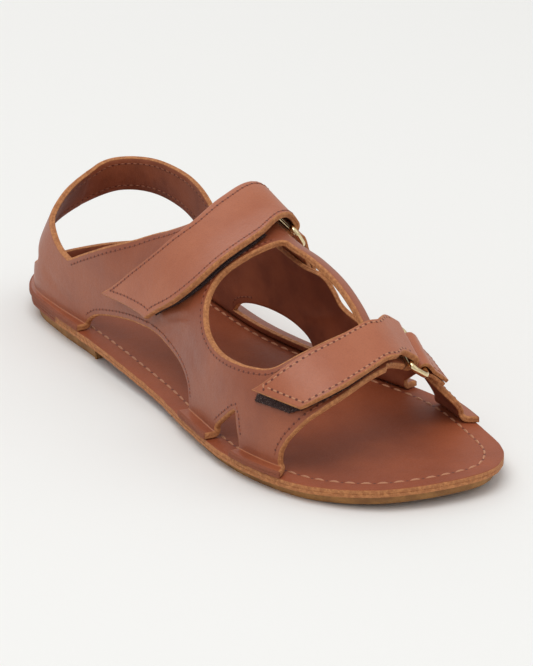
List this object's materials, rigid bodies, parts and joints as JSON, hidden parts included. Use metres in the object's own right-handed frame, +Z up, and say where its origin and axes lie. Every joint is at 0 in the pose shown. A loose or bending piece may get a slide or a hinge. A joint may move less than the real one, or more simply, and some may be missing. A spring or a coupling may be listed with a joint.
{
  "type": "walking sandal",
  "caption": "Low walking sandal for the right foot: leather footbed on rubber pads, wrapped upper with a heel strap, instep straps closed by hook-and-loop through rings.",
  "frame": {"origin": "centre of the footprint on the ground, under the middle of the shoe's box", "axes": "+X to the outer side of the right foot, +Y to the toe, +Z up"},
  "size_m": [0.0921, 0.2553, 0.0744],
  "materials": {
    "outsole_rubber": "matt tan rubber with a rough side",
    "footbed_leather": "smooth red-brown leather, soft gloss, tan raw edge",
    "leather": "smooth red-brown leather with a fine grain, tan raw edges",
    "strap_leather": "smooth red-brown leather with a fine grain, tan raw edges",
    "pile": "dark brown hook-and-loop pile",
    "ring_metal": "pale gold plated wire, polished"
  },
  "bodies": {
    "root": {"outsole_heel": "outsole_rubber", "outsole_forefoot": "outsole_rubber", "footbed": "footbed_leather", "upper": "leather", "ankle_strap": "strap_leather", "ankle_loop_pile": "pile", "ankle_hook_pile": "pile", "ankle_ring": "ring_metal", "ankle_tab": "strap_leather", "forefoot_strap": "strap_leather", "forefoot_loop_pile": "pile", "forefoot_hook_pile": "pile", "forefoot_ring": "ring_metal", "forefoot_tab": "strap_leather"}
  },
  "joints": []
}
